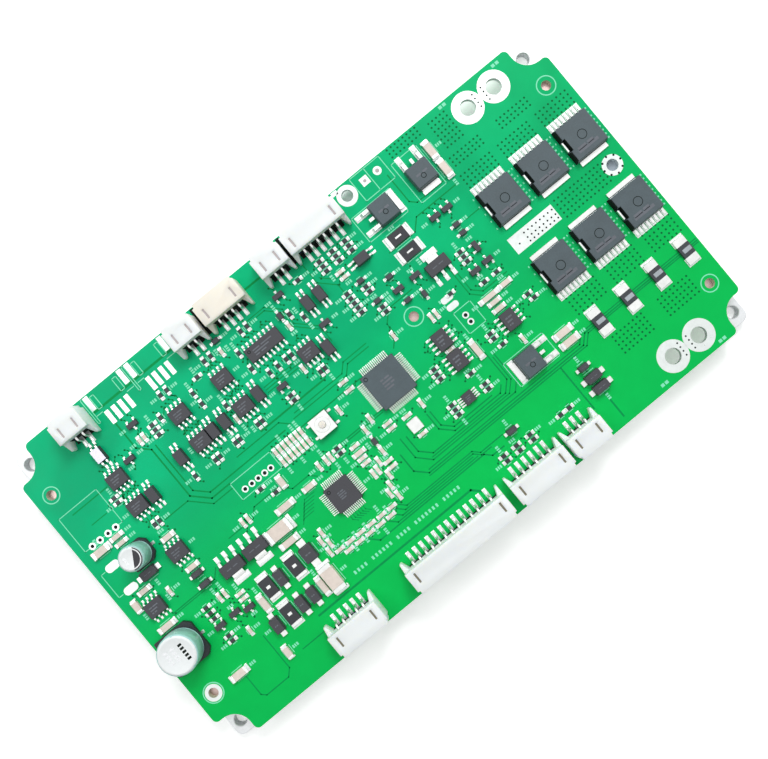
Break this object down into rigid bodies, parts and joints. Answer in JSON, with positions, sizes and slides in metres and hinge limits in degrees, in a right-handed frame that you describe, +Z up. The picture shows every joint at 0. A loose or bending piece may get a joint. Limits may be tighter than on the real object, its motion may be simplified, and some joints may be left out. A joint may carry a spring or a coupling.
{
  "type": "battery management board",
  "caption": "Green circuit board on an aluminium base plate, with power transistors, controllers, side-entry sockets and a small push button.",
  "frame": {"origin": "centre of the four lug holes, on the base plate's underside", "axes": "+X along the board's long side, +Z up through the lug holes, +Y towards the row of five sockets"},
  "size_m": [0.165, 0.089, 0.0156],
  "materials": {
    "board_laminate": "green solder mask, satin",
    "plate_aluminium": "blasted",
    "pad_silicone": "matt",
    "spacer_brass": "tinned",
    "button_plastic": "moulded",
    "switch_plastic": "moulded",
    "switch_metal": "stamped",
    "shunt_metal": "satin",
    "crystal_metal": "satin",
    "ceramic": "fired ceramic",
    "resistor_black": "glazed",
    "can_aluminium": "satin",
    "base_plastic": "moulded",
    "contact_tin": "tinned",
    "socket_cream": "moulded",
    "socket_nylon": "moulded",
    "package_grey": "moulded",
    "package_black": "moulded",
    "lead_tin": "tinned"
  },
  "bodies": {
    "board": {"base_plate": "plate_aluminium", "board_spacers": "spacer_brass", "capacitor_feet": "lead_tin", "cell_monitor_body": "package_black", "cell_monitor_leads": "lead_tin", "ceramic_capacitors": "ceramic", "chip_capacitors": "ceramic", "chip_resistors": "resistor_black", "circuit_board": "board_laminate", "crystal_can": "crystal_metal", "current_shunts": "shunt_metal", "eight_pin_bodies": "package_black", "eight_pin_leads": "lead_tin", "front_socket_1": "socket_nylon", "front_socket_2": "socket_nylon", "front_socket_3": "socket_nylon", "front_socket_4": "socket_nylon", "front_socket_contacts": "contact_tin", "gate_driver_body": "package_black", "gate_driver_leads": "lead_tin", "large_capacitor_base": "base_plastic", "large_capacitor_can": "can_aluminium", "main_controller_body": "package_black", "main_controller_leads": "lead_tin", "optocoupler_bodies": "package_black", "optocoupler_leads": "lead_tin", "power_resistor_bodies": "resistor_black", "power_resistor_ends": "lead_tin", "power_transistor_bodies": "package_grey", "power_transistor_leads": "lead_tin", "power_transistor_tabs": "lead_tin", "rear_socket_1": "socket_nylon", "rear_socket_2": "socket_nylon", "rear_socket_3": "socket_cream", "rear_socket_4": "socket_nylon", "rear_socket_5": "socket_nylon", "rear_socket_contacts": "contact_tin", "rectifier_bodies": "package_black", "rectifier_feet": "lead_tin", "reference_body": "package_black", "reference_leads": "lead_tin", "small_capacitor_base": "base_plastic", "small_capacitor_can": "can_aluminium", "small_diode_bodies": "package_black", "small_diode_leads": "lead_tin", "small_transistor_bodies": "package_black", "small_transistor_leads": "lead_tin", "switch_base": "switch_plastic", "switch_cover": "switch_metal", "switch_leaf": "switch_metal", "switch_legs": "lead_tin", "switch_transistor_bodies": "package_black", "switch_transistor_leads": "lead_tin", "tab_regulator_bodies": "package_black", "tab_regulator_leads": "lead_tin", "thermal_pad": "pad_silicone"},
    "button": {"reset_button": "button_plastic"}
  },
  "joints": [
    {"name": "reset_press", "type": "slide", "parent": "board", "child": "button", "axis": [0, 0, -1], "range_m": [0, 0.00025], "stiffness_N_per_m": 6000}
  ]
}
